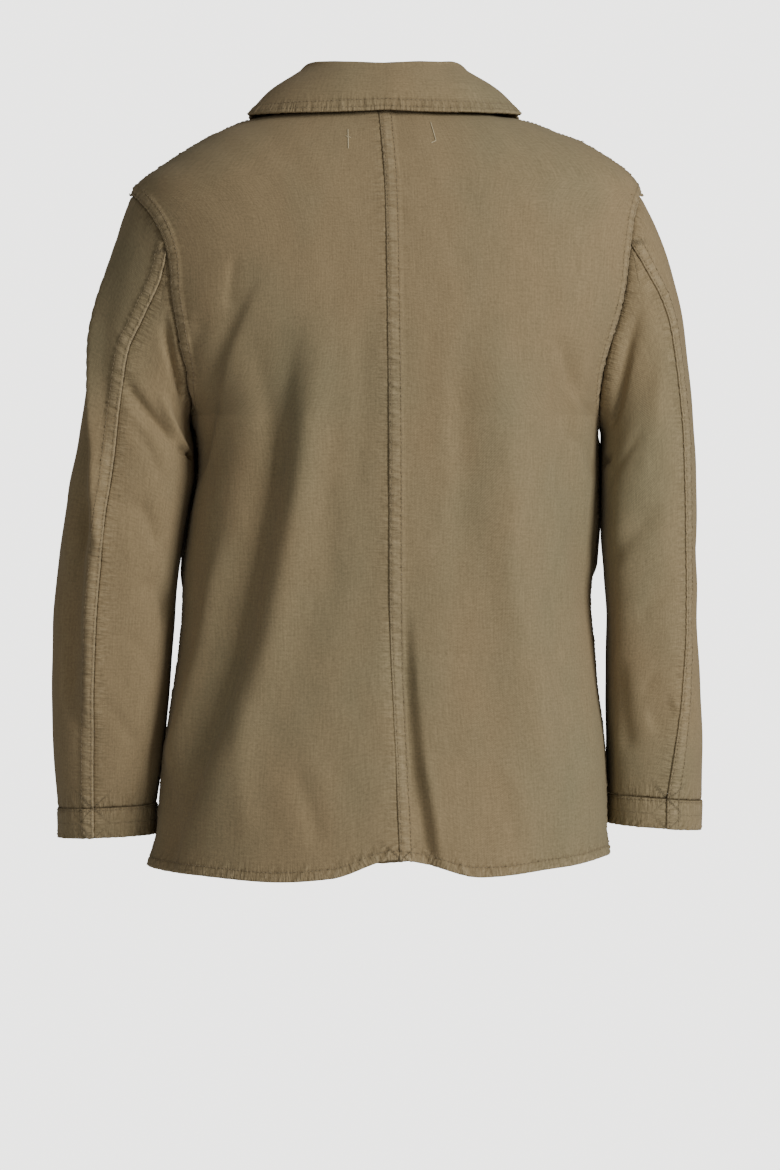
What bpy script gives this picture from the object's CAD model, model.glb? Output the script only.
# A chore jacket as worn, seen from behind: garment-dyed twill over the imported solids.
# Shapes are worked out in millimetres and put into the meshes in metres.
import math

import bpy
import numpy as np
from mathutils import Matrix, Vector


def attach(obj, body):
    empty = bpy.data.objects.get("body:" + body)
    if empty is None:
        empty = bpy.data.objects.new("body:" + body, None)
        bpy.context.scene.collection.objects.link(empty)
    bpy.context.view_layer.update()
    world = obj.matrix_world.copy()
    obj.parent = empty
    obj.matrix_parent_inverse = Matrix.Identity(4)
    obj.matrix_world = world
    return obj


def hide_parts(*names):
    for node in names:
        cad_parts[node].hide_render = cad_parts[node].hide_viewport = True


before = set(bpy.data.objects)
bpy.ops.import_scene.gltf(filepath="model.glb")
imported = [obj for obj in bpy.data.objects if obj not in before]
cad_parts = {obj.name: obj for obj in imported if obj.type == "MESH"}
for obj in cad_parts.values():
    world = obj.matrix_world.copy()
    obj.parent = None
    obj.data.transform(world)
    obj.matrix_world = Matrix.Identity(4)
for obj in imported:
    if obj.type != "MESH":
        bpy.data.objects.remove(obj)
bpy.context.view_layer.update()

# The camera stands behind the jacket at the height of its middle, with a long lens, and
# takes in 624 by 936 mm in the plane of the shoulder seams.
camera_data = bpy.data.cameras.new("camera")
camera_data.lens = 36 * 3.4 / 0.936
camera = bpy.data.objects.new("camera", camera_data)
camera.location = (-0.0048, 3.4, -0.3844)
camera.rotation_euler = (math.radians(90), 0, math.radians(180))
bpy.context.scene.collection.objects.link(camera)
bpy.context.scene.camera = camera


# The form of the body, which panels, pockets, sleeves and collar all follow: level
# sections from below the hem up to the nape, drawn in or let out by soft folds. turn is
# the angle round the body from centre back, in degrees, positive towards the wearer's left.
def table(columns, rows):
    """Rows of numbers under named columns, as one array for each name."""
    values = np.array(rows, float).T
    return dict(zip(columns.split(), values))


def through(rows, at, key, value):
    """Monotone cubic through one column of a table: slopes are harmonic means of the two
    neighbouring rises, and 0 where these differ in sign, so it never overshoots."""
    x, y = rows[at], rows[key]
    step = np.diff(x)
    rise = np.diff(y) / step
    product = rise[:-1] * rise[1:]
    total = np.where(product > 0, rise[:-1] + rise[1:], 1)
    inner = np.where(product > 0, 2 * product / total, 0)
    slope = np.concatenate([rise[:1], inner, rise[-1:]])
    t = np.clip(value, x[0], x[-1])
    i = np.clip(np.searchsorted(x, t, side="right") - 1, 0, len(step) - 1)
    s = (t - x[i]) / step[i]
    blend = s * s * (3 - 2 * s)
    out = s * (1 - s) ** 2 * slope[i] * step[i]
    into = s * s * (s - 1) * slope[i + 1] * step[i]
    return y[i] + (y[i + 1] - y[i]) * blend + out + into


def smooth(t):
    """Rises from 0 to 1 with level ends: 3t squared less 2t cubed."""
    s = np.clip(t, 0, 1)
    return s * s * (3 - 2 * s)


def unit(vectors):
    """Vectors of length 1."""
    return vectors / np.maximum(np.linalg.norm(vectors, axis=-1, keepdims=True), 1e-9)


SECTIONS = table("z half shift back front square", [
    (-640, 188, 5, 116, 122, 2.3),
    (-602, 183, 3.5, 116, 121, 2.3),
    (-580, 179.5, 1.5, 115, 120, 2.3),
    (-557, 178.5, 1, 113, 119, 2.3),
    (-525, 177, 0, 109, 118, 2.3),
    (-493, 173, -1, 105, 117, 2.3),
    (-461, 168.5, -1.5, 102, 117, 2.3),
    (-429, 165, -2.5, 100, 117, 2.3),
    (-397, 162.5, -2, 100, 118, 2.35),
    (-364, 163, -4.5, 101.5, 121, 2.35),
    (-330, 162, -8.5, 103, 124, 2.4),
    (-285, 159, -11.5, 106, 130, 2.45),
    (-250, 162, -9, 109, 133, 2.5),
    (-225, 171, -4, 111, 132, 2.55),
    (-194, 184, 0, 112, 128, 2.6),
    (-160, 196, 0, 110, 117, 2.6),
    (-130, 202, 0, 106, 104, 2.5),
    (-100, 204.5, 0, 99, 88, 2.4),
    (-85, 204, -0.5, 95, 80, 2.35),
    (-73, 202.5, -1.5, 91.5, 73, 2.3),
    (-64, 199, -3, 88.5, 68, 2.3),
    (-57, 192.5, -4.5, 86, 64, 2.3),
    (-46, 177.5, -6, 82, 57, 2.3),
    (-36, 161.5, -5.5, 77.5, 51, 2.3),
    (-28, 146, -4.5, 73.5, 47, 2.3),
    (-22, 132.5, -2.5, 70, 44, 2.3),
    (-16.5, 118.5, -1, 66.5, 41, 2.3),
    (-13, 104, 0, 64, 39.5, 2.3),
    (-10.5, 88, 0, 62.5, 38.3, 2.3),
    (-8, 72, 0, 61, 37, 2.3),
    (0, 60, 0, 57, 34, 2.3),
])
HEM = table("turn z", [
    (-181, -615), (-135, -607), (-100, -598), (-80, -599), (-60, -605), (-35, -611),
    (-15, -600), (-4, -597), (20, -612), (38, -615), (62, -611), (90, -608), (135, -611),
    (181, -615),
])
NECKLINE = table("turn z", [
    (0, 0), (45, -2), (70, -4.5), (90, -8), (104, -8.8), (119, -16), (137, -43), (156, -65),
    (180, -80),
])
CENTRE_SEAM = table("z x", [
    (-640, -15), (-540, -11), (-397, -5.4), (-277, -5), (-140, -3.4), (-76, -2), (0, 4),
])
FOLD_COLUMNS = "turn0 z0 turn1 z1 bow width depth lean"
# Large folds as in the solids: troughs have a depth below 0 and ridges above 0.
BODY_FOLDS = table(FOLD_COLUMNS, [
    (31, -160, 76, -625, 2, 14, -10.5, -0.5),
    (18, -150, 63, -612, 0, 15, 5, 0.2),
    (44, -130, 83, -310, 10, 9, -5, -0.5),
    (60, -330, 80, -545, 0, 10, 5, 0),
    (102, -214, 103, -414, 0, 12, 9.5, 0),
    (88, -510, 70, -630, 8, 11, -4, -0.2),
    (-9, -390, -20, -640, -6, 11, -6.5, -0.5),
    (-36, -150, -58, -600, 10, 19, 6, -0.25),
    (-24, -170, -32, -400, 3, 14, -2.5, 0.2),
    (-58, -170, -76, -400, -3, 13, -5, -0.2),
    (-64, -480, -50, -640, 0, 15, -4, 0),
    (-105, -236, -103, -400, 0, 11, 10.5, 0),
    (125, -200, 132, -380, 8, 14, -5, 0.2),
    (140, -250, 150, -640, -6, 22, 5, 0),
    (105, -410, 111, -660, 3, 18, -6.5, 0),
    (-122, -190, -134, -400, -6, 15, -5, -0.2),
    (-145, -230, -138, -640, 7, 23, 5, 0),
    (-104, -400, -110, -660, -4, 16, -5.5, 0),
])
# Small creases that the solids leave out.
BODY_CREASES = table(FOLD_COLUMNS, [
    (51, -125, 51.5, -172, 0, 3.5, -1.6, 0.3),
    (57, -165, 72, -228, 5, 6, -2.2, 0.2),
    (66, -180, 82, -262, 6, 5, -2.4, -0.2),
    (44, -170, 40, -330, -5, 9, -1.8, 0),
    (30, -200, 22, -420, 6, 13, -1.5, 0.2),
    (8, -150, 12, -330, 3, 11, -1.2, 0),
    (36, -520, 24, -590, 4, 8, -1.6, 0),
    (52, -470, 46, -585, -3, 8, 1.6, 0),
    (-5, -380, -12, -560, -4, 9, -1.5, 0),
    (-14, -500, -21, -600, 3, 6, 1.8, 0),
    (-24, -170, -29, -330, -4, 9, 1.4, 0),
    (-47, -250, -52, -420, 4, 8, -1.8, 0.2),
    (-55, -185, -72, -240, -4, 5, -2.4, 0.2),
    (-60, -215, -78, -252, -5, 4, -2.2, 0.2),
    (-63, -262, -80, -300, 4, 5, -2, 0),
    (-45, -520, -52, -610, 3, 8, 1.6, 0),
    (-9, -437, -50, -440, 0, 2.5, -0.5, 0),
    (104, -190, 118, -262, 5, 6, -2.4, 0),
    (-104, -228, -104, -296, 0, 8, 1.6, 0),
    (-114, -196, -124, -270, -5, 6, -2.4, 0),
    (150, -180, 158, -300, 4, 10, -1.6, 0),
    (-152, -190, -160, -320, -4, 10, -1.6, 0),
    (22, -180, 50, -500, 0, 13, 2.6, 0.2),
    (-36, -170, -57, -560, 8, 15, 2, -0.2),
])
MM_PER_TURN = 2.4


def folds(rows, turn, z, mm_per_turn):
    """Sum of soft folds. Each is depth times exp(-(a/w) squared), with a the distance
    across a slightly bowed line and w its half-width, and dies away at both ends."""
    total = np.zeros(np.broadcast(turn, z).shape)
    for turn0, z0, turn1, z1, bow, width, depth, lean in zip(*rows.values()):
        line_x, line_z = (turn1 - turn0) * mm_per_turn, z1 - z0
        length = math.hypot(line_x, line_z)
        x = (turn - turn0) * mm_per_turn
        t = (x * line_x + (z - z0) * line_z) / length**2
        across = (x * line_z - (z - z0) * line_x) / length - bow * 4 * t * (1 - t)
        spread = width * (1 + lean * np.tanh(across / width))
        bell = np.exp(-((across / spread) ** 2))
        total += depth * bell * smooth(t / 0.3) * smooth((1 - t) / 0.22)
    return total


def outline(turn, z):
    """Superellipse in polar form at height z, with its own depth at back and front; its
    sides lie off centre by shift."""
    sine, cosine = np.sin(np.radians(turn)), np.cos(np.radians(turn))
    depth = np.where(
        cosine > 0, through(SECTIONS, "z", "back", z), through(SECTIONS, "z", "front", z)
    )
    n = through(SECTIONS, "z", "square", z)
    half = through(SECTIONS, "z", "half", z)
    reach = (np.abs(sine / half) ** n + np.abs(cosine / depth) ** n) ** (-1 / n)
    x = through(SECTIONS, "z", "shift", z) * sine**4 + reach * sine
    return np.stack([x, reach * cosine, z + 0 * x], -1)


def slopes(surface, a, b, step_a, step_b):
    """Unit normal of a surface of two parameters: the cross product of two differences."""
    along_a = surface(a + step_a, b) - surface(a - step_a, b)
    along_b = surface(a, b + step_b) - surface(a, b - step_b)
    return unit(np.cross(along_a, along_b))


def wrapped(turn):
    """A turn brought back between -180 and 180."""
    return (turn + 180) % 360 - 180


def body(turn, z):
    """The outline moved along its normal by the folds and creases."""
    here = wrapped(turn)
    move = folds(BODY_FOLDS, here, z, MM_PER_TURN) + folds(BODY_CREASES, here, z, MM_PER_TURN)
    return outline(turn, z) + slopes(outline, turn, z, -0.5, 1) * move[..., None]


ARMHOLE = {"top": -73, "bottom": -250, "square": 2.3}
ARMHOLE_DEPTHS = {1: {"back": 74, "front": 68}, -1: {"back": 46, "front": 84}}


def armhole(angle, side):
    """Turn and height of a rounded oval on the body's side: 0 is the shoulder point, 90
    the back and 180 the underarm."""
    cosine, sine = np.cos(np.radians(angle)), np.sin(np.radians(angle))
    n = ARMHOLE["square"]
    reach = (np.abs(cosine) ** n + np.abs(sine) ** n) ** (-1 / n)
    share = 0.5 + 0.5 * reach * cosine
    z = ARMHOLE["bottom"] + (ARMHOLE["top"] - ARMHOLE["bottom"]) * share
    depths = ARMHOLE_DEPTHS[side]
    y = reach * sine * np.where(sine > 0, depths["back"], depths["front"])
    depth = np.where(
        y > 0, through(SECTIONS, "z", "back", z), through(SECTIONS, "z", "front", z)
    )
    square = through(SECTIONS, "z", "square", z)
    x = through(SECTIONS, "z", "half", z) * (1 - np.abs(y / depth) ** square) ** (1 / square)
    return side * np.degrees(np.arctan2(x, y)), z


# The cloth: a mid-weight cotton twill, dyed and washed as a finished garment, so that it
# is matt, a little faded on raised edges and darker where it was drawn together.
CLOTH_COLOUR = (0.262, 0.194, 0.104, 1)
CLOTH_FADED = (0.37, 0.29, 0.17, 1)
CLOTH_DEEP = (0.125, 0.09, 0.046, 1)
CLOTH_GREEN = (0.222, 0.186, 0.104, 1)
THREAD_COLOUR = (0.3, 0.235, 0.145, 1)


def new_group(name, inputs, outputs):
    """An empty shader node group with named sockets, and its input and output nodes."""
    group = bpy.data.node_groups.new(name, "ShaderNodeTree")
    for in_out, sockets in (("INPUT", inputs), ("OUTPUT", outputs)):
        for socket, kind in sockets.items():
            group.interface.new_socket(name=socket, in_out=in_out, socket_type=kind)
    return group, group.nodes.new("NodeGroupInput"), group.nodes.new("NodeGroupOutput")


def math_node(tree, operation, *values):
    """A Math node's output, each value a number or another node's output."""
    node = tree.nodes.new("ShaderNodeMath")
    node.operation = operation
    for socket, value in zip(node.inputs, values):
        if isinstance(value, (int, float)):
            socket.default_value = value
        else:
            tree.links.new(value, socket)
    return node.outputs[0]


def noise_node(tree, vector, stretch, scale, detail=2.0):
    """A noise stretched by three factors, from 0 to 1 about 0.5."""
    mapping = tree.nodes.new("ShaderNodeMapping")
    mapping.inputs["Scale"].default_value = stretch
    tree.links.new(vector, mapping.inputs["Vector"])
    noise = tree.nodes.new("ShaderNodeTexNoise")
    noise.inputs["Scale"].default_value = scale
    noise.inputs["Detail"].default_value = detail
    tree.links.new(mapping.outputs[0], noise.inputs["Vector"])
    return noise.outputs["Fac"]


def mix_colour(tree, share, first, second, blend="MIX"):
    """A mix of two colours, each a constant or a node's output."""
    node = tree.nodes.new("ShaderNodeMix")
    node.data_type = "RGBA"
    node.blend_type = blend
    for socket, value in ((node.inputs[0], share), (node.inputs[6], first), (node.inputs[7], second)):
        if isinstance(value, (int, float, tuple)):
            socket.default_value = value
        else:
            tree.links.new(value, socket)
    return node.outputs[2]


def twill_group():
    """Diagonal ribs of a twill with uneven yarns, on a map in millimetres."""
    group, start, end = new_group(
        "twill weave",
        {"Map": "NodeSocketVector"},
        {"Shade": "NodeSocketFloat", "Height": "NodeSocketFloat"},
    )
    split = group.nodes.new("ShaderNodeSeparateXYZ")
    group.links.new(start.outputs["Map"], split.inputs[0])
    wander = noise_node(group, start.outputs["Map"], (1, 0.6, 1), 0.4)
    rib = math_node(group, "MULTIPLY", split.outputs[0], 6.0)
    rib = math_node(group, "MULTIPLY_ADD", split.outputs[1], 3.4, rib)
    rib = math_node(group, "MULTIPLY_ADD", wander, 4.0, rib)
    rib = math_node(group, "SINE", rib)
    yarn = noise_node(group, start.outputs["Map"], (0.9, 0.05, 1), 0.9, 3.0)
    weft = noise_node(group, start.outputs["Map"], (0.09, 0.9, 1), 0.9, 3.0)
    fluff = noise_node(group, start.outputs["Map"], (1, 1, 1), 0.5, 5.0)
    shade = math_node(group, "MULTIPLY_ADD", rib, 0.03, 0.34)
    shade = math_node(group, "MULTIPLY_ADD", yarn, 0.42, shade)
    shade = math_node(group, "MULTIPLY_ADD", weft, 0.3, shade)
    shade = math_node(group, "MULTIPLY_ADD", fluff, 0.6, shade)
    group.links.new(shade, end.inputs["Shade"])
    height = math_node(group, "MULTIPLY", rib, 0.045)
    height = math_node(group, "MULTIPLY_ADD", fluff, 0.22, height)
    height = math_node(group, "MULTIPLY_ADD", yarn, 0.12, height)
    group.links.new(height, end.inputs["Height"])
    return group


def dye_group():
    """Uneven garment dye: broad patches, faded where tone is above 0 and deep below."""
    group, start, end = new_group(
        "garment dye",
        {"Place": "NodeSocketVector", "Tone": "NodeSocketFloat"},
        {"Colour": "NodeSocketColor"},
    )
    place = start.outputs["Place"]
    patches = noise_node(group, place, (1, 1, 0.6), 9.0, 3.0)
    green = math_node(group, "MULTIPLY_ADD", patches, 3.2, -1.35)
    colour = mix_colour(group, green, CLOTH_COLOUR, CLOTH_GREEN)
    group.nodes[-1].clamp_factor = True
    tone = start.outputs["Tone"]
    mottle = noise_node(group, place, (1, 1, 0.5), 60.0, 4.0)
    worn = math_node(group, "MULTIPLY_ADD", mottle, 0.34, tone)
    faded = math_node(group, "ADD", worn, -0.17)
    colour = mix_colour(group, faded, colour, CLOTH_FADED)
    deep = math_node(group, "MULTIPLY", tone, -1.0)
    colour = mix_colour(group, deep, colour, CLOTH_DEEP)
    group.links.new(colour, end.inputs["Colour"])
    return group


def group_node(tree, group, links):
    """A placed node group with its inputs linked."""
    node = tree.nodes.new("ShaderNodeGroup")
    node.node_tree = group
    for socket, value in links.items():
        tree.links.new(value, node.inputs[socket])
    return node


TWILL = twill_group()
DYE = dye_group()


def cloth_material():
    """Matt twill that reads the piece's map in millimetres, its tone, and how far along
    and away from its nearest seam each place is."""
    material = bpy.data.materials.new("garment_dyed_twill")
    material.use_nodes = True
    tree = material.node_tree
    shader = tree.nodes["Principled BSDF"]
    shader.inputs["Roughness"].default_value = 0.92
    shader.inputs["Specular IOR Level"].default_value = 0.18
    shader.inputs["Sheen Weight"].default_value = 0.12
    shader.inputs["Sheen Roughness"].default_value = 0.6
    shader.inputs["Sheen Tint"].default_value = (0.9, 0.8, 0.62, 1)
    place = tree.nodes.new("ShaderNodeTexCoord").outputs["Object"]
    uv = tree.nodes.new("ShaderNodeUVMap")
    uv.uv_map = "cloth"
    tone = tree.nodes.new("ShaderNodeAttribute")
    tone.attribute_name = "tone"
    seam = tree.nodes.new("ShaderNodeAttribute")
    seam.attribute_name = "seam"
    weave = group_node(tree, TWILL, {"Map": uv.outputs[0]})
    split = tree.nodes.new("ShaderNodeSeparateXYZ")
    tree.links.new(seam.outputs["Vector"], split.inputs[0])
    ladder = noise_node(tree, seam.outputs["Vector"], (0.5, 0.1, 1), 1.0, 3.0)
    ladder = math_node(tree, "ADD", ladder, -0.5)
    near = math_node(tree, "MULTIPLY", split.outputs[1], 0.095)
    near = math_node(tree, "MULTIPLY", near, near)
    near = math_node(tree, "MULTIPLY", near, -1.0)
    near = math_node(tree, "EXPONENT", near)
    rungs = math_node(tree, "MULTIPLY", ladder, near)
    full = math_node(tree, "MULTIPLY_ADD", rungs, 2.0, tone.outputs["Fac"])
    dye = group_node(tree, DYE, {"Place": place, "Tone": full})
    shade = tree.nodes.new("ShaderNodeCombineColor")
    for socket in shade.inputs:
        tree.links.new(weave.outputs["Shade"], socket)
    colour = mix_colour(tree, 1.0, dye.outputs["Colour"], shade.outputs[0], "MULTIPLY")
    tree.links.new(colour, shader.inputs["Base Color"])
    bump = tree.nodes.new("ShaderNodeBump")
    bump.inputs["Distance"].default_value = 0.001
    bump.inputs["Strength"].default_value = 0.8
    height = math_node(tree, "MULTIPLY_ADD", rungs, 2.2, weave.outputs["Height"])
    tree.links.new(height, bump.inputs["Height"])
    tree.links.new(bump.outputs[0], shader.inputs["Normal"])
    return material


CLOTH = cloth_material()


def cloth_piece(name, points, outward, wall, tone, seam, cloth_map, replaces):
    """A sheet from a grid of outer points in millimetres, with a wall behind it. outward
    holds the directions that its faces turn to."""
    rows, columns = points.shape[:2]
    grid = np.arange(rows * columns).reshape(rows, columns)
    quads = np.stack([grid[:-1, :-1], grid[:-1, 1:], grid[1:, 1:], grid[1:, :-1]], -1).reshape(-1, 4)
    facing = np.cross(np.gradient(points, axis=1), np.gradient(points, axis=0))
    if (facing * outward).sum() < 0:
        quads = quads[:, ::-1]
    mesh = bpy.data.meshes.new(name)
    mesh.from_pydata(points.reshape(-1, 3) / 1000, [], quads)
    mesh.polygons.foreach_set("use_smooth", np.ones(len(quads), bool))
    layer = mesh.uv_layers.new(name="cloth")
    layer.data.foreach_set("uv", cloth_map.reshape(-1, 2)[quads.ravel()].ravel())
    for label, kind, values in (("tone", "FLOAT", tone), ("seam", "FLOAT_VECTOR", seam)):
        field = mesh.attributes.new(label, kind, "POINT")
        field.data.foreach_set("value" if kind == "FLOAT" else "vector", values.ravel())
    mesh.materials.append(CLOTH)
    piece = bpy.data.objects.new(name, mesh)
    bpy.context.scene.collection.objects.link(piece)
    solid = piece.modifiers.new("wall", "SOLIDIFY")
    solid.thickness = wall / 1000
    solid.offset = -1
    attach(piece, "root")
    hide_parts(replaces)
    return piece


# Every seam is sewn with tonal cotton thread, which shows as short stitches that sink
# into the cloth and draw it into small puckers.
def near_line(points, line):
    """Distance of each point from a polyline, and how far along it the nearest part is:
    the least over all stretches, each point first projected onto the stretch."""
    steps = np.diff(line, axis=0)
    lengths = np.linalg.norm(steps, axis=1)
    starts = np.concatenate([[0], np.cumsum(lengths)[:-1]])
    flat = points.reshape(-1, 3)
    best = np.full(len(flat), 1e9)
    along = np.zeros(len(flat))
    low, high = line.min(0) - 30, line.max(0) + 30
    inside = np.flatnonzero(((flat > low) & (flat < high)).all(1))
    for part in np.array_split(inside, max(1, len(inside) // 4000)):
        away = flat[part, None] - line[None, :-1]
        share = np.clip((away * steps).sum(-1) / np.maximum(lengths**2, 1e-9), 0, 1)
        gap = np.linalg.norm(away - share[..., None] * steps, axis=-1)
        least = gap.argmin(1)
        rows = np.arange(len(part))
        best[part] = gap[rows, least]
        along[part] = starts[least] + share[rows, least] * lengths[least]
    return best.reshape(points.shape[:-1]), along.reshape(points.shape[:-1])


def ripple(along, seed):
    """An uneven wave, about -1 to 1: four sines whose lengths don't divide each other."""
    lengths = np.array([5.3, 6.9, 9.7, 14.3])
    phases = np.array([0.7, 2.1, 4.4, 5.8]) + seed * np.array([1.3, 2.9, 4.1, 0.6])
    swing = 1.2 * np.sin(along / 23.0 + seed)
    waves = np.sin(2 * np.pi * along[..., None] / lengths + phases + swing[..., None])
    return (waves * np.array([0.3, 0.34, 0.26, 0.2])).sum(-1)


def evenly(line, pitch):
    """Points every pitch along a polyline."""
    lengths = np.concatenate([[0], np.cumsum(np.linalg.norm(np.diff(line, axis=0), axis=1))])
    at = np.arange(pitch / 2, lengths[-1], pitch)
    return np.stack([np.interp(at, lengths, line[:, k]) for k in range(3)], -1)


STITCH = {"pitch": 3.3, "length": 2.5, "radius": 0.3}
stitch_places = []


def laid(points, normals, spots, lift):
    """Spots moved onto the nearest places of a grid of points and lifted off it, with the
    normals there."""
    flat, up = points.reshape(-1, 3), normals.reshape(-1, 3)
    nearest = np.concatenate([
        (((part[:, None] - flat[None]) ** 2).sum(-1)).argmin(1)
        for part in np.array_split(spots, max(1, len(spots) // 40))
    ])
    normal = up[nearest]
    drop = ((spots - flat[nearest]) * normal).sum(-1, keepdims=True)
    return spots - drop * normal + normal * lift, normal


def sew(points, normals, line, sink=0.12):
    """Notes stitches along a line, each laid on the nearest place of a grid of points."""
    spots, normal = laid(points, normals, evenly(line, STITCH["pitch"]), STITCH["radius"] - sink)
    tangent = unit(np.gradient(spots, axis=0))
    tangent = unit(tangent - (tangent * normal).sum(-1, keepdims=True) * normal)
    stitch_places.append((spots, tangent, normal))


# Back: two panels of twill from the neck and shoulder seams down to a narrow turned hem.
# They meet in a flat-felled seam down the centre, where the right panel laps over the
# left one, and the seam is sewn with two rows 8 mm apart.
SEAM_GAP = 0.3
FELL = {"width": 10.5, "rise": 0.9}
LAP = {"half": 18, "drop": 3.2, "run": 18}
WALL = 1.6
HEM_DEPTH = 9
SEAM_ROWS, ARMHOLE_ROWS, SHOULDER_ROWS = 12, 9, 4


def turn_of_x(x, z, is_back):
    """The turn at which the body's back or front crosses a distance from the middle."""
    depth = through(SECTIONS, "z", "back" if is_back else "front", z)
    turn = np.degrees(np.arctan2(x, depth if is_back else -depth))
    return turn if is_back else np.where(turn > 0, turn, turn + 360)


def panel_edge(row, side, is_back):
    """A panel's outer edge in rows: up the side seam, round the armhole, and along the
    shoulder to the neck."""
    hem = through(HEM, "turn", "z", np.float64(side * 90))
    neck = through(NECKLINE, "turn", "z", np.float64(90))
    angle = 180 * (1 - np.clip(row - SEAM_ROWS, 0, ARMHOLE_ROWS) / ARMHOLE_ROWS)
    turn, z = armhole(angle if is_back else -angle, side)
    low = hem + (ARMHOLE["bottom"] - hem) * row / SEAM_ROWS
    above = (row - SEAM_ROWS - ARMHOLE_ROWS) / SHOULDER_ROWS
    high = ARMHOLE["top"] + (neck - ARMHOLE["top"]) * above
    z = np.where(row < SEAM_ROWS, low, np.where(above > 0, high, z))
    turn = np.where((row < SEAM_ROWS) | (above > 0), side * 90.0, turn)
    return turn, z


def panel_places(row, u, side, is_back):
    """Turn, height and height above the hem at a share u between a panel's centre edge
    and its outer edge. The hem and neckline bend the rows by cubes of the share of the
    way to them."""
    rows = SEAM_ROWS + ARMHOLE_ROWS + SHOULDER_ROWS
    if is_back:
        ends = (through(HEM, "turn", "z", np.float64(0)), -252, -58, 0)
    else:
        hem_front = through(HEM, "turn", "z", np.float64(180))
        ends = (hem_front, -262, -135, through(NECKLINE, "turn", "z", np.float64(180)))
    knots = [0, SEAM_ROWS, SEAM_ROWS + ARMHOLE_ROWS, rows]
    gap = SEAM_GAP / 2 / MM_PER_TURN * side

    def centre_turn(z):
        if is_back:
            return turn_of_x(through(CENTRE_SEAM, "z", "x", z), z, True) + gap
        return side * 180 + turn_of_x(-side * LAP["half"] + 0 * z, z, False) - 180

    def turn_at(share, at_row, centre_z):
        edge_turn = panel_edge(at_row, side, is_back)[0] + (-gap if is_back else gap)
        start = centre_turn(centre_z)
        return start + (edge_turn - start) * share

    v = row / rows
    centre_z = np.interp(row, knots, ends)
    edge_z = panel_edge(row, side, is_back)[1]
    turn = turn_at(u, row, centre_z)
    hem_turn = wrapped(turn_at(u, 0 * row, ends[0] + 0 * row))
    neck_turn = np.abs(wrapped(turn_at(u, 0 * row + rows, ends[3] + 0 * row)))
    hem_edge = panel_edge(0 * row, side, is_back)[1]
    neck_edge = panel_edge(0 * row + rows, side, is_back)[1]
    bottom = through(HEM, "turn", "z", hem_turn) - (ends[0] + (hem_edge - ends[0]) * u)
    top = through(NECKLINE, "turn", "z", neck_turn) - (ends[3] + (neck_edge - ends[3]) * u)
    z = centre_z + (edge_z - centre_z) * u + bottom * (1 - v) ** 3 + top * v**3
    return turn, z, z - through(HEM, "turn", "z", wrapped(turn))


def rows_and_shares(per_seam, per_armhole, per_shoulder, width, step, fine):
    """Grid lines of a panel: rows at even parts of its three stretches, and shares of its
    width that lie closer together within 15 mm of both edges."""
    row = np.concatenate([
        np.arange(0, SEAM_ROWS, 1 / per_seam),
        SEAM_ROWS + np.arange(0, ARMHOLE_ROWS, 1 / per_armhole),
        SEAM_ROWS + ARMHOLE_ROWS + np.linspace(0, SHOULDER_ROWS, SHOULDER_ROWS * per_shoulder + 1),
    ])
    edge = np.arange(0, 15, fine)
    middle = np.linspace(15, width - 15, int((width - 30) / step) + 1)
    share = np.concatenate([edge, middle, width - edge[::-1]]) / width
    return np.meshgrid(row, share, indexing="ij")


def under_lap(points):
    """How far the under front lies below the upper one near the middle."""
    return LAP["drop"] * (1 - smooth((points[..., 0] - LAP["half"] - 4) / LAP["run"]))


def grid_normals(points, outward):
    """Normals of a grid of points from its differences, turned to one side."""
    normals = unit(np.cross(np.gradient(points, axis=1), np.gradient(points, axis=0)))
    return normals * (1 if (normals * outward).sum() > 0 else -1)


def felled(away, along, seed, is_lapping, rise=1.2, width=10.5):
    """Height and tone of a flat-felled seam at distances from its edge. The lapping side
    is a band raised by rise, its far side sinks gently at the second row of stitches, and
    both rows draw the cloth into slanting ripples."""
    waves = ripple(along + 0.5 * away, seed)
    rows = np.exp(-(((away - 1.6) / 1.0) ** 2)) + np.exp(-(((away - width + 1.4) / 1.1) ** 2))
    pull = np.exp(-((away / (width * 0.95)) ** 4))
    beyond = np.exp(-np.clip(away - width, 0, None) / 5.0) * (1 - pull)
    if is_lapping:
        band = rise * smooth((width + 1.2 - away) / 2.4)
        height = band - 0.4 * rows + 0.6 * waves * pull + 0.45 * waves * beyond
        tone = 0.3 * pull - 0.34 * rows + 0.26 * waves * pull
        tone += 0.35 * np.exp(-((away / 0.8) ** 2))
        return height, tone
    dip = np.exp(-((away / 1.6) ** 2))
    height = -0.5 * dip + 0.5 * waves * np.exp(-away / 7.0)
    tone = -0.3 * np.exp(-((away / 0.8) ** 2)) + 0.1 * waves * np.exp(-away / 6.0)
    return height, tone


def edge_hem(away, along, seed, depth=9.0, rise=0.8):
    """Height and tone of a turned hem: a raised band, one row of stitches, and slanting
    ropes that run from its edge up to the row."""
    waves = ripple(along + 0.9 * away, seed)
    band = rise * smooth((depth + 1.5 - away) / 2.5)
    row = np.exp(-(((away - depth + 1.5) / 1.1) ** 2))
    pull = smooth((depth + 6 - away) / 7)
    height = band - 0.5 * row + 1.05 * waves * pull
    tone = 0.4 * np.exp(-((away / 1.4) ** 2)) + 0.42 * waves * pull - 0.34 * row
    return height, tone + 0.1 * smooth((depth - away) / 3)


def handle(points, seed):
    """Slight unevenness of washed cloth, in millimetres: a few crossed sines, longer up
    and down than across."""
    x, y, z = points[..., 0], points[..., 1], points[..., 2]
    across = x + 0.6 * y
    wave = 0.35 * np.sin(across / 9.1 + 1.7 * np.sin(z / 61 + seed) + seed)
    wave += 0.3 * np.sin(across / 5.3 - z / 47 + 2.1 * np.sin(z / 38 - seed))
    wave += 0.22 * np.sin(z / 8.3 + 1.9 * np.sin(across / 21 + seed) + 2 * seed)
    return wave * 0.55


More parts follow.
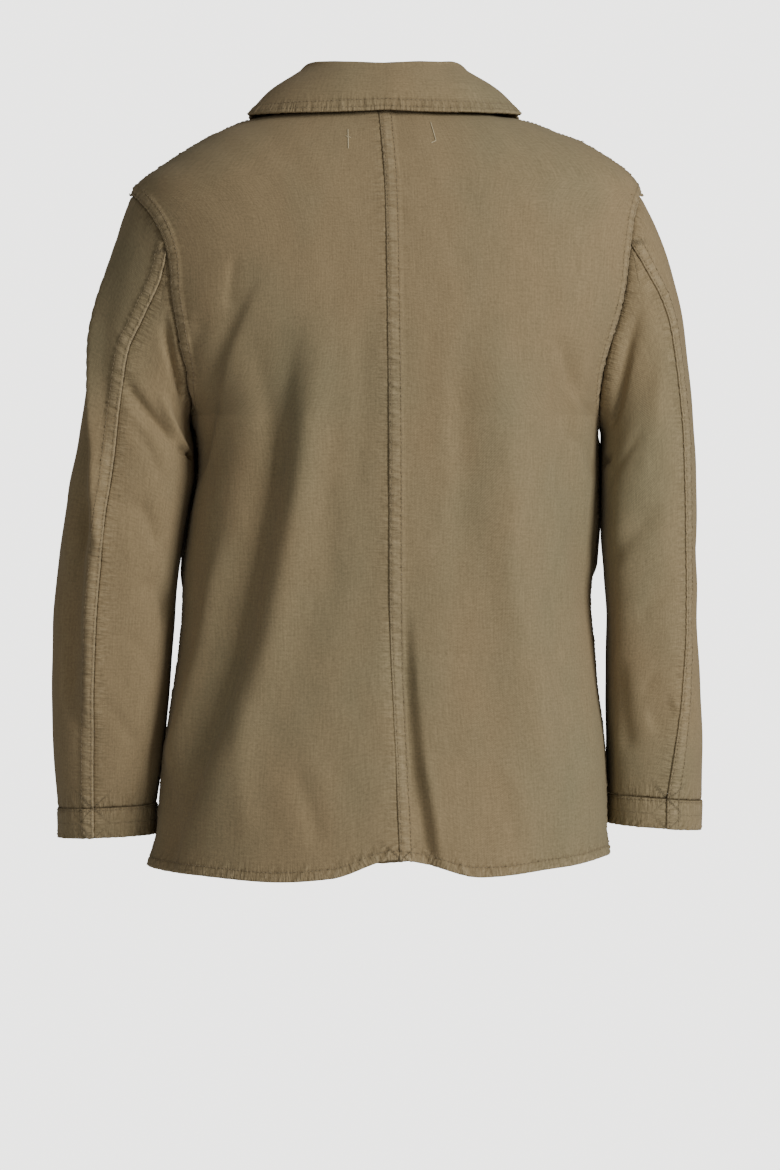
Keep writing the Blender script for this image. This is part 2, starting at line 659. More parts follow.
def dressed(points, normals, lines, seed):
    """Adds every edge's relief to a grid. Each line is a polyline with a function of the
    distance from it and along it; the nearest line gives the seam coordinates."""
    height = handle(points, seed)
    tone = np.zeros(height.shape)
    seam = np.stack([height * 0, height * 0 + 99, height * 0], -1)
    for index, (line, relief) in enumerate(lines):
        away, along = near_line(points, line)
        close = away < 28
        rise, shade = relief(away, along)
        height += np.where(close, rise, 0)
        tone += np.where(close, shade, 0)
        is_nearer = away < seam[..., 1]
        here = np.stack([along, away, 0 * away + index * 7.0], -1)
        seam = np.where(is_nearer[..., None], here, seam)
    moved = points + normals * height[..., None]
    return moved, tone, seam


def flat_map(points):
    """A map in millimetres: across by the mean lengths along rows, up by those along
    columns."""
    across = np.linalg.norm(np.diff(points, axis=1), axis=-1).mean(0)
    upward = np.linalg.norm(np.diff(points, axis=0), axis=-1).mean(1)
    u = np.concatenate([[0], np.cumsum(across)])
    v = np.concatenate([[0], np.cumsum(upward)])
    return np.stack(np.meshgrid(u, v), -1)


def panel_grid(side, is_back, row, share):
    """A panel's plain grid, its outward normals and its heights above the hem."""
    turn, z, above = panel_places(row, share, side, is_back)
    points = body(turn, z)
    normals = grid_normals(points, points * (1, 1, 0))
    if not is_back and side > 0:
        points = points - normals * under_lap(points)[..., None]
    return points, normals, above


# A row's number at which the armhole starts and ends on a panel.
def edge_stretch(points, row, low, high, column):
    """The part of a grid's column between two row numbers, as a line."""
    rows = row[:, 0]
    keep = (rows >= low - 1e-6) & (rows <= high + 1e-6)
    return points[keep, column]


def inset(points, normals, line_index, distance, column_step):
    """A line that runs a distance in from a grid's edge column."""
    edge = points[line_index, 0 if column_step > 0 else -1]
    inner = points[line_index, 4 if column_step > 0 else -5]
    along = unit(np.gradient(edge, axis=0))
    across = inner - edge
    across = unit(across - (across * along).sum(-1, keepdims=True) * along)
    return edge + across * distance


dressed_panels = {}
for side, word in ((1, "left"), (-1, "right")):
    row, share = rows_and_shares(16, 13, 11, 235, 2.9, 1.15)
    plain, normals, above = panel_grid(side, True, row, share)
    is_lapping = side < 0
    if is_lapping:
        plain[:, 0] += unit(plain[:, 0] - plain[:, 1]) * 0.9
    centre = plain[:, 0]
    arm_low, arm_high = SEAM_ROWS, SEAM_ROWS + ARMHOLE_ROWS
    side_seam = edge_stretch(plain, row, 0, arm_low, -1)
    arm_line = edge_stretch(plain, row, arm_low, arm_high, -1)
    shoulder = edge_stretch(plain, row, arm_high, 99, -1)
    hem_line = plain[0]
    neck_line = plain[-1]
    lines = [
        (centre, lambda d, s: felled(d, s, 0.4, side < 0)),
        (side_seam, lambda d, s: felled(d, s, 1.9 + side, True, 0.7)),
        (arm_line, lambda d, s: felled(d, s, 3.1 + side, True, 1.2, 9.5)),
        (shoulder, lambda d, s: felled(d, s, 4.6 + side, True, 0.6)),
        (hem_line, lambda d, s: edge_hem(d, s, 5.2 + side)),
    ]
    points, tone, seam = dressed(plain, normals, lines, 1.0 + 0.7 * side)
    facing = grid_normals(points, normals)
    rows = np.arange(len(points))
    numbers = row[:, 0]
    if is_lapping:
        for offset in (1.6, 9.1):
            sew(points, facing, inset(plain, normals, rows, offset, 1))
    for low, high, offsets in ((0, arm_low, (1.6, 9.1)), (arm_low, arm_high, (1.6, 8.1)), (arm_high, 99, (1.6, 9.1))):
        keep = np.flatnonzero((numbers >= low) & (numbers <= high))
        for offset in offsets:
            sew(points, facing, inset(plain, normals, keep, offset, -1))
    hem_row = int(np.argmin(np.abs(above[:, 40] - 7.5)))
    sew(points, facing, plain[hem_row])
    dressed_panels[f"back_{word}"] = (points, facing)
    cloth_piece(
        f"back_{word}_cloth", points, normals, WALL, tone, seam, flat_map(plain),
        f"back_{word}",
    )


# Fronts: cut like the back, but they lap by 36 mm at the centre, the wearer's right one
# over the left. Their edges are turned in and sewn with one row.
for side, word in ((1, "left"), (-1, "right")):
    row, share = rows_and_shares(10, 8, 7, 255, 4.2, 1.8)
    plain, normals, above = panel_grid(side, False, row, share)
    arm_low, arm_high = SEAM_ROWS, SEAM_ROWS + ARMHOLE_ROWS
    lines = [
        (plain[:, 0], lambda d, s: edge_hem(d, s, 6.1 + side, 8.0, 0.3)),
        (edge_stretch(plain, row, 0, arm_low, -1), lambda d, s: felled(d, s, 7.3, False)),
        (edge_stretch(plain, row, arm_low, arm_high, -1), lambda d, s: felled(d, s, 8.1, True, 0.8, 9.5)),
        (edge_stretch(plain, row, arm_high, 99, -1), lambda d, s: felled(d, s, 9.4, False)),
        (plain[0], lambda d, s: edge_hem(d, s, 2.2 + side)),
    ]
    points, tone, seam = dressed(plain, normals, lines, 2.6 + 0.7 * side)
    facing = grid_normals(points, normals)
    numbers = row[:, 0]
    sew(points, facing, inset(plain, normals, np.arange(len(points)), 6.5, 1))
    keep = np.flatnonzero((numbers >= arm_low) & (numbers <= arm_high))
    for offset in (1.6, 8.1):
        sew(points, facing, inset(plain, normals, keep, offset, -1))
    hem_row = int(np.argmin(np.abs(above[:, 30] - 7.5)))
    sew(points, facing, plain[hem_row])
    dressed_panels[f"front_{word}"] = (points, facing)
    cloth_piece(
        f"front_{word}_cloth", points, normals, WALL, tone, seam, flat_map(plain),
        f"front_{word}",
    )


# Sleeves: an upper and an under piece each, joined by a felled seam down the back of the
# arm and a plain seam in front, and set into the armhole with puckers round the cap.
RING_COLUMNS = "along outer_x outer_z inner_x inner_z depth forward seam"
LEFT_SLEEVE = table(RING_COLUMNS, [
    (0, 203, -73, 152.5, -250, 68, 0, 64),
    (18, 213, -100, 154.5, -257, 66, 0, 74),
    (40, 221.5, -138, 153.5, -265, 65, 0, 78),
    (66, 231, -180, 152, -277, 65, 0, 77),
    (96, 237, -222, 151.5, -294, 65, 0, 76),
    (133, 244, -268, 155, -317, 63, 0, 78),
    (165, 253, -310, 160, -345, 61, 0, 81),
    (208, 260, -365, 164.5, -376, 58, 0, 82),
    (258, 264.5, -420, 168.5, -421, 56, 3, 82),
    (316, 266, -480, 172.5, -478, 54, 9, 82),
    (363, 265, -527, 177.5, -524, 52, 17, 82),
    (400, 262, -563, 183, -560, 50, 24, 82),
])
RIGHT_SLEEVE = table(RING_COLUMNS, [
    (0, 203, -73, 171.5, -250, 64, 20, 59),
    (18, 216, -97, 172.5, -257, 65, 18, 59),
    (40, 229.5, -131, 174, -265, 65, 15, 56),
    (66, 238, -166, 174, -277, 65, 12, 53),
    (96, 243, -206, 174, -294, 66, 9, 52),
    (133, 247, -248, 174, -315, 66, 6, 51),
    (165, 249.5, -292, 174, -343, 65, 4, 52),
    (208, 250, -348, 176, -374, 64, 3, 52),
    (258, 250, -405, 178.5, -413, 62, 5, 51),
    (316, 253.5, -465, 178, -466, 58, 12, 62),
    (363, 256, -518, 178.5, -514, 54, 20, 75),
    (400, 255.5, -557, 178.5, -551, 51, 27, 82),
])
RING_POWER = 0.8
CAP_RUN = 55
FRONT_SEAM = 216
SLEEVE_END = 400
LEFT_SLEEVE_FOLDS = table(FOLD_COLUMNS, [
    (14, 15, 88, 215, 0, 8.5, 7.5, 0.3),
    (6, 45, 62, 210, 0, 11, -6, 0),
    (72, 150, 79, 345, 0, 9, 5.5, 0.3),
    (50, 150, 57, 335, 0, 12, -7, 0),
    (72, 74, 128, 78, -4, 8, -5, 0),
    (104, 46, 158, 84, -4, 9, 5, 0),
    (86, 14, 138, 22, 0, 7, -8, 0),
    (92, 150, 128, 185, 4, 9, -4, 0),
    (105, 215, 160, 250, 6, 12, -3.5, 0),
    (250, 190, 305, 225, -6, 11, -5, 0),
    (240, 235, 300, 250, 6, 11, -4, 0),
    (300, 40, 318, 190, 6, 11, -4, 0),
    (70, 150, 104, 210, 5, 7, 1.6, 0),
    (92, 255, 140, 300, 4, 7, -1.6, 0),
    (82, 300, 120, 350, -4, 6, -1.3, 0),
    (20, 200, 50, 260, 4, 8, -1.4, 0),
    (350, 120, 380, 220, 4, 9, -1.4, 0),
    (128, 86, 168, 76, 0, 4, -4.2, 0),
    (80, 95, 118, 130, 3, 7, -1.6, 0),
    (10, 10, 60, 140, 0, 3.5, 2, 0),
    (58, 128, 82, 200, 0, 3.5, 1.8, 0),
    (2, 20, 50, 150, 0, 6, -2.6, 0),
    (50, 150, 70, 300, 0, 6, -2.2, 0),
])
RIGHT_SLEEVE_FOLDS = table(FOLD_COLUMNS, [
    (78, 18, 138, 60, 6, 9, -4.5, 0),
    (138, 92, 168, 84, 0, 6, -3.5, 0),
    (80, 175, 140, 205, 7, 12, -3, 0),
    (126, 70, 132, 430, 0, 16, 5, -0.3),
    (130, 285, 118, 370, 4, 11, -4, 0),
    (70, 330, 98, 345, 3, 9, -3, 0),
    (250, 195, 305, 230, -6, 11, -5, 0),
    (245, 240, 300, 262, 6, 11, -4, 0),
    (300, 45, 316, 180, -6, 11, -4, 0),
    (60, 230, 110, 262, 5, 7, -1.5, 0),
    (66, 290, 104, 322, 4, 6, -1.5, 0),
    (14, 210, 38, 290, 4, 8, -1.4, 0),
    (350, 130, 380, 240, -4, 9, -1.4, 0),
    (90, 100, 150, 132, 4, 9, -1.4, 0),
    (70, 60, 96, 150, 3, 9, 1.2, 0),
])
SLEEVES = {1: (LEFT_SLEEVE, LEFT_SLEEVE_FOLDS), -1: (RIGHT_SLEEVE, RIGHT_SLEEVE_FOLDS)}


def tube(angle, along, side):
    """A slanted ring, a little squarer than an ellipse: its outer and inner points joined by
    a power of the cosine, its depth by one of the sine. Past the sleeve's end it runs
    straight down."""
    rings = SLEEVES[side][0]
    at = {key: through(rings, "along", key, along) for key in rings if key != "along"}
    cosine, sine = np.cos(np.radians(angle)), np.sin(np.radians(angle))
    cosine = np.sign(cosine) * np.abs(cosine) ** RING_POWER
    sine = np.sign(sine) * np.abs(sine) ** RING_POWER
    past = np.clip(along - SLEEVE_END, 0, None)
    share = 0.5 + 0.5 * cosine
    x = at["inner_x"] + (at["outer_x"] - at["inner_x"]) * share
    z = at["inner_z"] + (at["outer_z"] - at["inner_z"]) * share - past
    y = at["depth"] * sine - at["forward"] - 0.2 * past
    return np.stack([side * x, y, z], -1)


def sleeve(angle, along, side):
    """The tube, bent near its top onto the armhole, and moved along its normal by the
    folds."""
    def plain(a, b):
        hole = body(*armhole(a, side)) + np.array([side * SEAM_GAP, 0, 0])
        cap = (1 - smooth(b / CAP_RUN))[..., None]
        return tube(a, b, side) + cap * (hole - tube(a, 0 * b, side))

    deep = np.maximum(along, 1)
    normal = slopes(plain, angle, deep, -side, 1)
    move = folds(SLEEVES[side][1], angle % 360, along, 1.0)
    move += folds(SLEEVES[side][1], angle % 360 + 360, along, 1.0)
    return plain(angle, along) + normal * (move * smooth(along / 25))[..., None]


def sleeve_cap(away, along, seed):
    """Height and tone of a sleeve's edge at the armhole: it dips into the seam and is
    gathered into small puckers that fade within 20 mm."""
    waves = ripple(along, seed)
    height = -1.2 * np.exp(-((away / 2.6) ** 2)) + 0.8 * waves * np.exp(-away / 9.0)
    tone = -0.55 * np.exp(-((away / 2.0) ** 2)) + 0.15 * waves * np.exp(-away / 7.0)
    return height, tone


def sleeve_grid(side, is_upper, start, end, rows, columns):
    """A sleeve piece's grid between its two seams, closer at both."""
    along = np.linspace(start, end, rows)
    seam = through(SLEEVES[side][0], "along", "seam", along)
    low = FRONT_SEAM - 360 + 0 * seam if is_upper else seam
    high = seam if is_upper else FRONT_SEAM + 0 * seam
    even = np.linspace(-1, 1, columns)
    share = 0.5 + 0.5 * (0.6 * even + 0.4 * np.sin(even * np.pi / 2))
    gap = 0.18
    angle = (low + gap)[:, None] + (high - low - 2 * gap)[:, None] * share
    along = along[:, None] + 0 * angle
    points = sleeve(angle, along, side)
    middle = points.mean(1, keepdims=True)
    return points, grid_normals(points, points - middle)


for side, word in ((1, "left"), (-1, "right")):
    for is_upper, layer in ((True, "upper"), (False, "under")):
        plain, normals = sleeve_grid(side, is_upper, 0, SLEEVE_END - SEAM_GAP, 206, 88 if is_upper else 68)
        back_edge, front_edge = (-1, 0) if is_upper else (0, -1)
        lines = [
            (plain[0], lambda d, s: sleeve_cap(d, s, 2.4 + side)),
            (plain[:, back_edge], lambda d, s: felled(d, s, 5.5 + side, is_upper, 1.2)),
            (plain[:, front_edge], lambda d, s: felled(d, s, 6.5 + side, False)),
            (plain[-1], lambda d, s: felled(d, s, 7.5 + side, False)),
        ]
        points, tone, seam = dressed(plain, normals, lines, 3.3 + side)
        facing = grid_normals(points, normals)
        if is_upper:
            for offset in (1.6, 9.1):
                sew(points, facing, inset(plain, normals, np.arange(len(points)), offset, -1))
        cloth_piece(
            f"sleeve_{word}_{layer}_cloth", points, normals, WALL, tone, seam, flat_map(plain),
            f"sleeve_{word}_{layer}",
        )


# Cuffs: the sleeve ends are turned up deep inside and sewn round with one row at the top
# of the turning; the sleeve seam runs on through them.
CUFF = {"depth": 24, "wall": 2.2, "stand": 0.3}


def cuff_relief(away, along, seed):
    """Height and tone at a cuff's top edge: the row of stitches just below it."""
    waves = ripple(along, seed)
    row = np.exp(-(((away - 1.8) / 1.1) ** 2))
    height = 0.5 * smooth(away / 1.2) - 0.4 * row + 0.5 * waves * np.exp(-away / 9.0)
    tone = 0.1 - 0.35 * np.exp(-((away / 0.8) ** 2)) - 0.2 * row + 0.2 * waves * np.exp(-away / 9.0)
    return height, tone


for side, word in ((1, "left"), (-1, "right")):
    for is_upper, layer in ((True, "upper"), (False, "under")):
        plain, normals = sleeve_grid(side, is_upper, SLEEVE_END, SLEEVE_END + CUFF["depth"], 20, 88 if is_upper else 68)
        plain = plain + normals * CUFF["stand"]
        back_edge = -1 if is_upper else 0
        lines = [
            (plain[0], lambda d, s: cuff_relief(d, s, 3.6 + side)),
            (plain[:, back_edge], lambda d, s: felled(d, s, 5.5 + side, is_upper, 1.2)),
            (plain[-1], lambda d, s: edge_hem(d, s, 8.8 + side, 2.0, 0.1)),
        ]
        points, tone, seam = dressed(plain, normals, lines, 4.3 + side)
        facing = grid_normals(points, normals)
        sew(points, facing, plain[1] * 0.7 + plain[2] * 0.3)
        if is_upper:
            for offset in (1.6, 9.1):
                sew(points, facing, inset(plain, normals, np.arange(len(points)), offset, -1))
        cloth_piece(
            f"cuff_{word}_{layer}_cloth", points, normals, CUFF["wall"], tone, seam, flat_map(plain),
            f"cuff_{word}_{layer}",
        )


# Collar: an upper and an under collar sewn together and turned out, folded over so that
# it stands at the nape and falls to an edge with two rows of stitches.
COLLAR = table("turn stand lean edge_turn edge_z clear", [
    (0, 24.5, 6, 0, -15.5, 6),
    (45, 29, 6, 44, -17, 5.5),
    (70, 32, 6, 69, -16, 4.5),
    (90, 29, 6.5, 89, -13.3, 3.6),
    (104, 28, 6.5, 102, -16, 3.8),
    (119, 26, 6, 116, -39, 4),
    (137, 20, 4, 131, -75, 4.3),
    (156, 14, 2, 143, -104, 4.5),
    (177, 9, 1, 152, -126, 4.5),
])
COLLAR_WALL = 2.0
ROLL_RADIUS = 3.2
COLLAR_LIFT = 1.3


def centripetal(knots, t):
    """Catmull-Rom curves through rows of knots, with knot steps as square roots of their
    distances. t runs from 0 to 1, equally for each stretch."""
    ends = [2 * knots[:, :1] - knots[:, 1:2], 2 * knots[:, -1:] - knots[:, -2:-1]]
    every = np.concatenate([ends[0], knots, ends[1]], 1)
    place = t * (knots.shape[1] - 1)
    i = np.clip(place.astype(int), 0, knots.shape[1] - 2)
    w = (place - i)[None, :, None]
    p0, p1, p2, p3 = (every[:, i + k] for k in range(4))
    step = [np.sqrt(np.linalg.norm(b - a, axis=-1, keepdims=True)) for a, b in ((p0, p1), (p1, p2), (p2, p3))]
    step = [np.maximum(s, 1e-4) for s in step]
    into = ((p1 - p0) / step[0] - (p2 - p0) / (step[0] + step[1]) + (p2 - p1) / step[1]) * step[1]
    out = ((p2 - p1) / step[1] - (p3 - p1) / (step[1] + step[2]) + (p3 - p2) / step[2]) * step[1]
    return (
        (2 * w**3 - 3 * w**2 + 1) * p1 + (w**3 - 2 * w**2 + w) * into
        + (3 * w**2 - 2 * w**3) * p2 + (w**3 - w**2) * out
    )


def collar_grid(stations, shares):
    """Rows of points from the neck seam up the stand, over the roll and down the fall."""
    turn = np.linspace(-177, 177, stations)
    side, t = np.where(turn < 0, -1.0, 1.0), np.abs(turn)
    at = {key: through(COLLAR, "turn", key, t) for key in COLLAR if key != "turn"}
    seam = outline(turn, through(NECKLINE, "turn", "z", t)) + np.array([0, 0, COLLAR_LIFT])
    away = unit(seam * (1, 1, 0))
    up = np.array([0, 0, 1.0])
    roll = seam - away * at["lean"][:, None] + up * at["stand"][:, None]
    edge_turn = side * at["edge_turn"]
    edge_normal = slopes(outline, edge_turn, at["edge_z"], -0.5, 1)
    edge = outline(edge_turn, at["edge_z"]) + edge_normal * at["clear"][:, None]
    fall_top = roll + away * 2 * ROLL_RADIUS - up * ROLL_RADIUS
    middle = (fall_top + edge) / 2 + away * 3 + up * 2
    stand_top = roll - up * ROLL_RADIUS
    crest = roll + away * ROLL_RADIUS
    stand_middle = (seam + stand_top) / 2 + away
    knots = np.stack([seam, stand_middle, stand_top, crest, fall_top, middle, edge], 1)
    return centripetal(knots, shares)


shares = np.concatenate([np.linspace(0, 0.33, 12)[:-1], np.linspace(0.33, 0.67, 20)[:-1], np.linspace(0.67, 1, 24)])
plain = collar_grid(330, shares)
away = np.gradient(plain, axis=1)
normals = unit(np.cross(away, np.gradient(plain, axis=0)))
if normals[165, -1, 1] < 0:
    normals = -normals
plain = plain + normals * COLLAR_WALL / 2


def collar_relief(away, along):
    """Height and tone by the collar's free edge: a thick turned edge, two rows of
    stitches 3 and 9 mm from it, and ripples between them."""
    waves = ripple(along, 1.3)
    rows = np.exp(-(((away - 3.2) / 1.0) ** 2)) + np.exp(-(((away - 8.8) / 1.1) ** 2))
    pull = smooth((15 - away) / 10)
    height = 0.4 * smooth((11 - away) / 3) - 0.4 * rows + 0.5 * waves * pull
    tone = 0.3 * np.exp(-((away / 1.2) ** 2)) - 0.28 * rows + 0.24 * waves * pull
    return height, tone


edge_line = np.concatenate([plain[0, 22:], plain[:, -1], plain[-1, 22:][::-1]])
fall = np.zeros(plain.shape[:2]) + (np.arange(len(shares)) > 20)
points, tone, seam = dressed(plain, normals, [(edge_line, collar_relief)], 5.7)
keep = fall[..., None]
points = plain * (1 - keep) + points * keep
tone = tone * fall
facing = grid_normals(points, normals)
for offset in (3.2, 8.8):
    inner = unit(plain[:, -5] - plain[:, -1])
    sew(points[:, 30:], facing[:, 30:], plain[4:-4, -1] + inner[4:-4] * offset)
cloth_piece(
    "collar_cloth", points, normals, COLLAR_WALL, tone, seam, flat_map(plain),
    "collar",
)


# Patch pockets: one on each front, with rounded lower corners and a turned top, sewn on
# with two rows. They lie on the points of the front, moved out.
POCKET = {"row0": 1, "row1": 6, "column0": 6, "column1": 14, "corner": 0.55, "slant": 1.8, "gap": 0.75, "wall": 1.8}
for side, word in ((1, "left"), (-1, "right")):
    row = POCKET["row0"] + np.linspace(0, 1, 90) ** 1.15 * (POCKET["row1"] - POCKET["row0"])
    column = np.linspace(POCKET["column0"], POCKET["column1"], 84)
    row, column = np.meshgrid(row, column, indexing="ij")
    left = np.minimum(row - POCKET["row0"], POCKET["corner"])
    cut = POCKET["corner"] - np.sqrt(POCKET["corner"] ** 2 - (POCKET["corner"] - left) ** 2)
    middle = (POCKET["column0"] + POCKET["column1"]) / 2
    half = POCKET["column1"] - middle
    moved = middle + (column - middle) / half * (half - cut * POCKET["slant"])
    base, normals, above = panel_grid(side, False, row, moved / 15)
    plain = base + normals * (POCKET["gap"] + POCKET["wall"])
    rim = np.concatenate([plain[::-1, 0], plain[0], plain[:, -1]])
    lines = [
        (rim, lambda d, s: edge_hem(d, s, 3.7 + side, 7.0, 0.1)),
        (plain[-1], lambda d, s: edge_hem(d, s, 4.9 + side, 18.0, 0.3)),
    ]
    points, tone, seam = dressed(plain, normals, lines, 6.4 + side)
    facing = grid_normals(points, normals)
    for offset in (2.0, 8.0):
        for step in (1, -1):
            sew(points, facing, inset(plain, normals, np.arange(6, len(points)), offset, step))
        sew(points, facing, plain[np.abs(row[:, 0] - 1 - offset / 29).argmin(), 12:-12])
    sew(points, facing, plain[-11, 1:-1])
    cloth_piece(
        f"pocket_{word}_cloth", points, normals, POCKET["wall"], tone, seam, flat_map(plain),
        f"pocket_{word}",
    )


# Thread: every row of stitches noted above, as small rounded lengths of cotton, and the
# two pale tacks that hold a label inside the back of the neck.
def thread_material(name, colour):
    """Matt cotton thread with fine strands across it."""
    material = bpy.data.materials.new(name)
    material.use_nodes = True
    tree = material.node_tree
    shader = tree.nodes["Principled BSDF"]
    shader.inputs["Roughness"].default_value = 0.85
    shader.inputs["Specular IOR Level"].default_value = 0.2
    place = tree.nodes.new("ShaderNodeTexCoord").outputs["Object"]
    strands = noise_node(tree, place, (1, 1, 1), 700.0, 2.0)
    dark = tuple(c * 0.6 for c in colour[:3]) + (1,)
    tree.links.new(mix_colour(tree, strands, dark, colour), shader.inputs["Base Color"])
    return material


def threads(name, spots, tangents, normals, length, radius, material):
    """Four-sided spindles along the tangents, thinner at both ends, which sink by 0.9 of
    the radius. Point b of ring a is number 4a + b."""
    ring = np.arange(4) * np.pi / 2
    along = np.array([-0.5, -0.3, 0.3, 0.5]) * length
    wide = np.array([0.35, 1, 1, 0.35]) * radius
    low = np.array([-0.9, 0, 0, -0.9]) * radius
    side = np.cross(normals, tangents)
    local = np.stack([
        np.repeat(along, 4), np.outer(wide, np.cos(ring)).ravel(),
        np.outer(wide, np.sin(ring)).ravel() + np.repeat(low, 4),
    ], -1)
    axes = np.stack([tangents, side, normals], 1)
    points = spots[:, None] + np.einsum("vk,nkc->nvc", local, axes)
    a, b = np.meshgrid(4 * np.arange(3), np.arange(4), indexing="ij")
    after = (b + 1) % 4
    sides = np.stack([a + b, a + after, a + 4 + after, a + 4 + b], -1).reshape(-1, 4)
    caps = np.array([[3, 2, 1, 0], [12, 13, 14, 15]])
    first = np.arange(len(spots)) * 16
    faces = (first[:, None, None] + np.concatenate([sides, caps])).reshape(-1, 4).tolist()
    mesh = bpy.data.meshes.new(name)
    mesh.from_pydata(points.reshape(-1, 3) / 1000, [], faces)
    mesh.polygons.foreach_set("use_smooth", np.ones(len(mesh.polygons), bool))
    mesh.materials.append(material)
    piece = bpy.data.objects.new(name, mesh)
    bpy.context.scene.collection.objects.link(piece)
    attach(piece, "root")
    return piece


spots, tangents, ups = (np.concatenate(parts) for parts in zip(*stitch_places))
TONAL = thread_material("tonal_thread", THREAD_COLOUR)
threads("stitches", spots, tangents, ups, STITCH["length"], STITCH["radius"], TONAL)

# The tacks are short rows of pale thread: x and z of both ends of each.
TACKS = table("x0 z0 x1 z1", [
    (28.6, -27.5, 28.1, -43.5), (30.6, -33, 26.4, -34.5), (-37.2, -21.5, -41, -36.5), (-41.2, -37, -38.2, -38.5),
])
tack_places = []
for x0, z0, x1, z1 in zip(*TACKS.values()):
    ends = np.array([x0, x1]), np.array([z0, z1])
    line = body(turn_of_x(ends[0], ends[1], True), ends[1])
    points, facing = dressed_panels["back_left" if x0 > 0 else "back_right"]
    spots, normal = laid(points, facing, evenly(line, 2.2), 0.35)
    tangent = unit(line[1] - line[0]) + 0 * spots
    tangent = unit(tangent - (tangent * normal).sum(-1, keepdims=True) * normal)
    tack_places.append((spots, tangent, normal))
spots, tangents, ups = (np.concatenate(parts) for parts in zip(*tack_places))
PALE_THREAD = (0.66, 0.56, 0.36, 1)
threads("label_tacks", spots, tangents, ups, 3.0, 0.42, thread_material("pale_thread", PALE_THREAD))


# Buttons: five round four-hole buttons of dark horn, each with a raised rim and a shallow
# dish, held by a cross of thread. Every one sits at the closed end of a buttonhole worked
# in the wearer's right front.
BUTTON = {"radius": 10, "thick": 3, "bevel": 0.8, "hole": 1.1, "spread": 2.1, "gap": 0.35}
BUTTON_HEIGHTS = (-100, -205, -310, -415, -520)
BUTTONHOLE = {"start": -4, "end": 17, "half": 1.15, "pitch": 0.7, "length": 2.0}


def horn_material():
    """Polished horn: dark brown with paler wavy streaks and a faint cloud."""
    material = bpy.data.materials.new("dark_horn")
    material.use_nodes = True
    tree = material.node_tree
    shader = tree.nodes["Principled BSDF"]
    shader.inputs["Roughness"].default_value = 0.32
    shader.inputs["Coat Weight"].default_value = 0.25
    shader.inputs["Coat Roughness"].default_value = 0.15
    place = tree.nodes.new("ShaderNodeTexCoord").outputs["Object"]
    streaks = noise_node(tree, place, (1, 1, 0.25), 420.0, 5.0)
    streaks = math_node(tree, "MULTIPLY_ADD", streaks, 3.0, -1.15)
    cloud = noise_node(tree, place, (1, 1, 1), 90.0, 2.0)
    colour = mix_colour(tree, streaks, (0.052, 0.034, 0.019, 1), (0.17, 0.115, 0.062, 1))
    colour = mix_colour(tree, cloud, colour, (0.085, 0.06, 0.036, 1))
    tree.links.new(colour, shader.inputs["Base Color"])
    return material


def button_face(angle, radius):
    """Height of a button's face: level rim, quarter-round edge, a dish sunk by 0.55 and
    four holes that drop nearly through."""
    edge = np.clip((radius - BUTTON["radius"] + BUTTON["bevel"]) / BUTTON["bevel"], 0, 1)
    height = BUTTON["thick"] - BUTTON["bevel"] * (1 - np.sqrt(1 - edge**2))
    height = height - 0.55 * smooth((7.6 - radius) / 1.2)
    x, y = radius * np.cos(angle), radius * np.sin(angle)
    hole = np.hypot(np.abs(x) - BUTTON["spread"], np.abs(y) - BUTTON["spread"])
    return height - 2.1 * smooth((BUTTON["hole"] + 0.2 - hole) / 0.4)


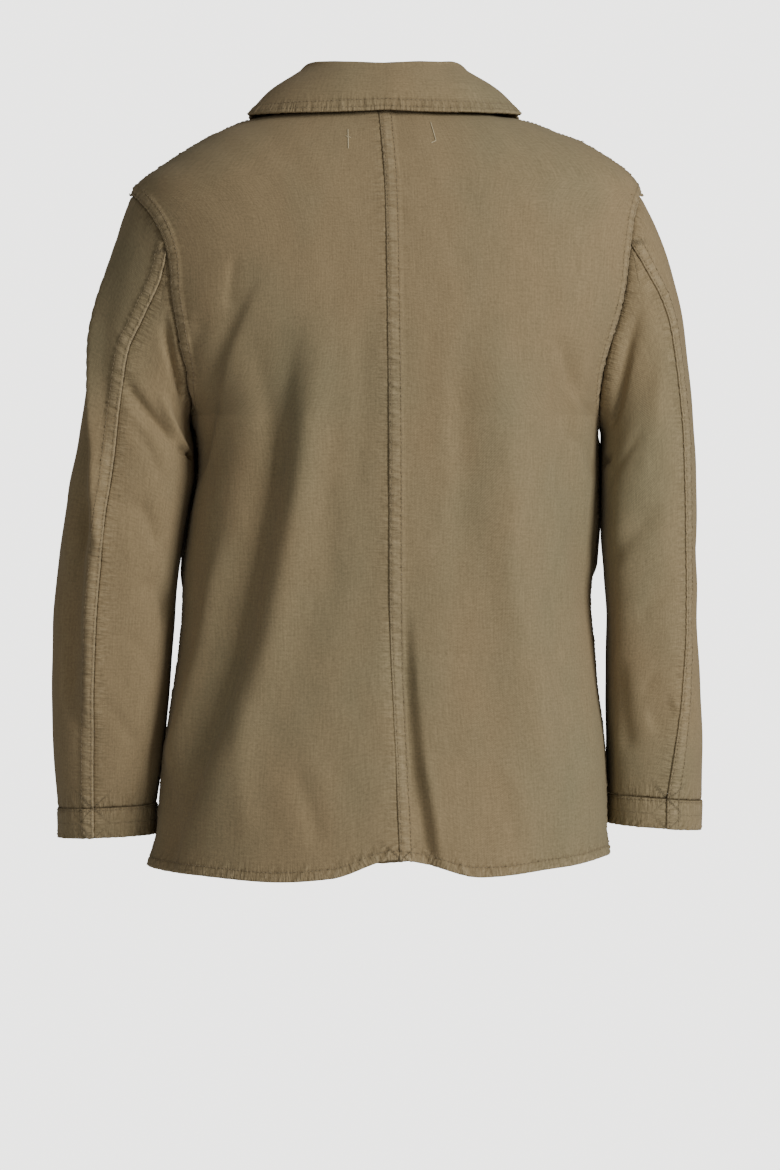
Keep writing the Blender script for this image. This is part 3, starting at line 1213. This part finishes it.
HORN = horn_material()
cross_places = []
buttonhole_places = []
for index, z in enumerate(BUTTON_HEIGHTS):
    turn = np.array(float(turn_of_x(0.0, z, False)))
    normal = slopes(body, turn, np.array(float(z)), -0.5, 1)
    base = body(turn, np.array(float(z))) + normal * BUTTON["gap"]
    right = unit(np.array([1.0, 0, 0]) - normal[0] * normal)
    up = np.cross(normal, right)
    angle = np.linspace(0, 2 * np.pi, 97)[:-1]
    radius = np.concatenate([
        np.linspace(0.05, 5, 26), np.linspace(5.3, 9.1, 11), 9.2 + 0.8 * np.sin(np.linspace(0.15, 1.57, 6)),
    ])
    around, out = np.meshgrid(angle, radius, indexing="ij")
    face = np.stack([out * np.cos(around), out * np.sin(around), button_face(around, out)], -1)
    rim = face[:, -1:] * (1, 1, 0) + np.array([0, 0, 0.9])
    back = np.stack([out[:, -1:] * np.cos(around[:, -1:]), out[:, -1:] * np.sin(around[:, -1:])], -1)
    back = np.concatenate([back * 0.9, 0 * back[..., :1]], -1)
    middle = back * (0.01, 0.01, 1)
    grid = np.concatenate([face, rim, back, middle], 1)
    points = base + grid @ np.stack([right, up, normal])
    columns = grid.shape[1]
    number = np.arange(96 * columns).reshape(96, columns)
    nextdoor = np.roll(number, -1, 0)
    quads = np.stack([number[:, :-1], number[:, 1:], nextdoor[:, 1:], nextdoor[:, :-1]], -1)
    mesh = bpy.data.meshes.new(f"button_{index + 1}_horn")
    mesh.from_pydata(points.reshape(-1, 3) / 1000, [], quads.reshape(-1, 4).tolist())
    mesh.polygons.foreach_set("use_smooth", np.ones(len(mesh.polygons), bool))
    mesh.materials.append(HORN)
    piece = bpy.data.objects.new(f"button_{index + 1}_horn", mesh)
    bpy.context.scene.collection.objects.link(piece)
    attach(piece, "root")
    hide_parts(f"button_{index + 1}")
    for lean in (1, -1):
        strand = unit(right + lean * up)
        for shift in (-0.42, 0.42):
            spot = base + normal * (BUTTON["thick"] - 0.25) + np.cross(normal, strand) * shift
            cross_places.append((spot[None], strand[None], normal[None]))
    points, facing = dressed_panels["front_right"]
    for row_z in (-1, 1):
        ends = [[-BUTTONHOLE[key], base[1], z + row_z * BUTTONHOLE["half"]] for key in ("start", "end")]
        spots, above = laid(points, facing, evenly(np.array(ends), BUTTONHOLE["pitch"]), 0.16)
        cross = np.cross(above, np.array([1.0, 0, 0]))
        buttonhole_places.append((spots, unit(cross), above))

spots, tangents, ups = (np.concatenate(parts) for parts in zip(*cross_places))
threads("button_crosses", spots, tangents, ups, 6.6, 0.42, TONAL)
spots, tangents, ups = (np.concatenate(parts) for parts in zip(*buttonhole_places))
threads("buttonholes", spots, tangents, ups, BUTTONHOLE["length"], 0.3, TONAL)

# Plain soft studio: a pale floor well below the jacket, a broad light behind the camera's
# right shoulder, a weaker one on the left, and an even pale surround.
world = bpy.data.worlds.new("studio")
bpy.context.scene.world = world
world.use_nodes = True
tree = world.node_tree
surround = tree.nodes["Background"]
surround.inputs["Color"].default_value = (1, 0.99, 0.97, 1)
seen = tree.nodes.new("ShaderNodeLightPath").outputs["Is Camera Ray"]
tree.links.new(math_node(tree, "MULTIPLY_ADD", seen, 3.0, 0.2), surround.inputs["Strength"])


def softbox(name, place, target, size, watts):
    """A square area light that faces a point."""
    data = bpy.data.lights.new(name, "AREA")
    data.energy = watts
    data.size = size
    light = bpy.data.objects.new(name, data)
    light.location = place
    light.rotation_euler = (Vector(target) - Vector(place)).to_track_quat("-Z", "Y").to_euler()
    bpy.context.scene.collection.objects.link(light)


softbox("key", (-2.5, 2.4, 0.9), (0, 0, -0.3), 1.3, 122)
softbox("fill", (1.6, 3.2, 0.4), (0, 0, -0.3), 1.8, 12)
floor_mesh = bpy.data.meshes.new("floor")
ring = np.linspace(0, 2 * np.pi, 97)[:-1]
disc = np.stack([2.6 * np.cos(ring), 2.6 * np.sin(ring), 0 * ring - 1.42], -1)
floor_mesh.from_pydata(disc, [], [list(range(96))])
floor = bpy.data.objects.new("floor", floor_mesh)
floor_material = bpy.data.materials.new("pale_floor")
floor_material.use_nodes = True
floor_material.node_tree.nodes["Principled BSDF"].inputs["Base Color"].default_value = (0.8, 0.8, 0.79, 1)
floor_mesh.materials.append(floor_material)
bpy.context.scene.collection.objects.link(floor)
